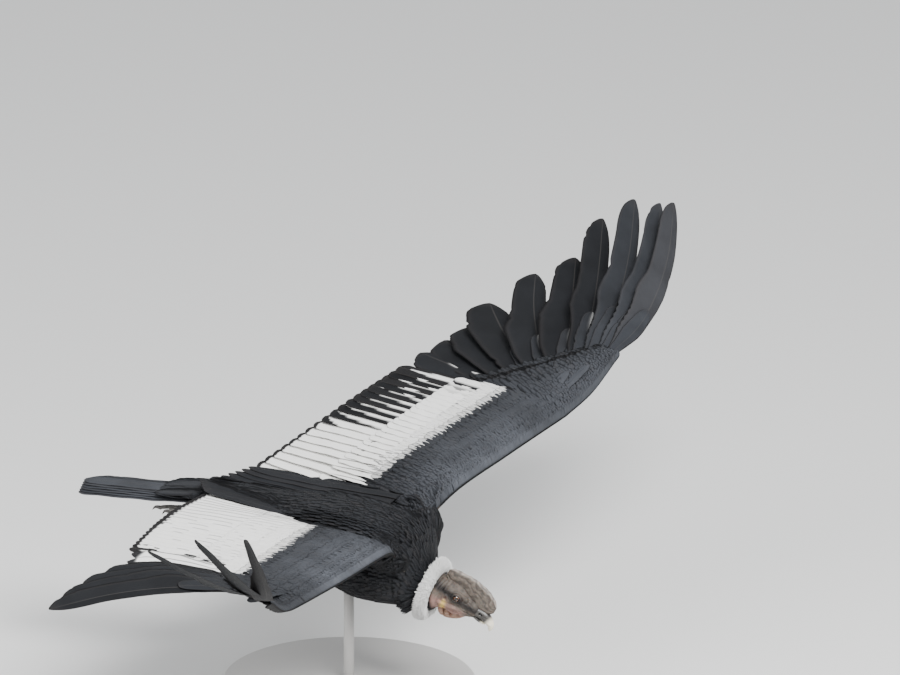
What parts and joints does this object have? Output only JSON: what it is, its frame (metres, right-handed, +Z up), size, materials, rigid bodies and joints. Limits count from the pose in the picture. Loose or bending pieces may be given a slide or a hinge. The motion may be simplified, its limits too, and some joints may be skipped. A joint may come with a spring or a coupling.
{
  "type": "andean condor",
  "caption": "Adult male andean condor gliding with raised wings and spread finger feathers, white ruff and comb, held on a plain round display stand.",
  "frame": {"origin": "centre of the display base's underside, on the surface it rests on", "axes": "+X towards the head, +Y towards the bird's left wing, +Z up"},
  "size_m": [0.9586, 2.564, 0.7703],
  "materials": {
    "dark_plumage": "matt black feathers with a cool grey sheen",
    "pied_plumage": "white and black flight feathers and coverts, matt",
    "white_down": "soft white down",
    "bare_skin": "wrinkled brownish grey skin",
    "comb_skin": "grey fleshy comb, satin",
    "horn": "polished horn, dark at the base and ivory at the tip",
    "eye": "glossy brown eye",
    "scaled_leg": "grey scaled skin, matt",
    "painted_wood": "satin light grey paint",
    "painted_steel": "satin light grey paint"
  },
  "bodies": {
    "root": {"torso": "dark_plumage", "wing_arm_left": "pied_plumage", "wing_hand_left": "dark_plumage", "leg_left": "scaled_leg", "foot_left": "scaled_leg", "wing_arm_right": "pied_plumage", "wing_hand_right": "dark_plumage", "leg_right": "scaled_leg", "foot_right": "scaled_leg", "tail": "dark_plumage", "neck": "bare_skin", "ruff": "white_down", "head": "bare_skin", "comb": "comb_skin", "bill_upper": "horn", "bill_lower": "horn", "wattle": "bare_skin", "eye_left": "eye", "eye_right": "eye", "stand_base": "painted_wood", "stand_rod": "painted_steel"}
  },
  "joints": []
}
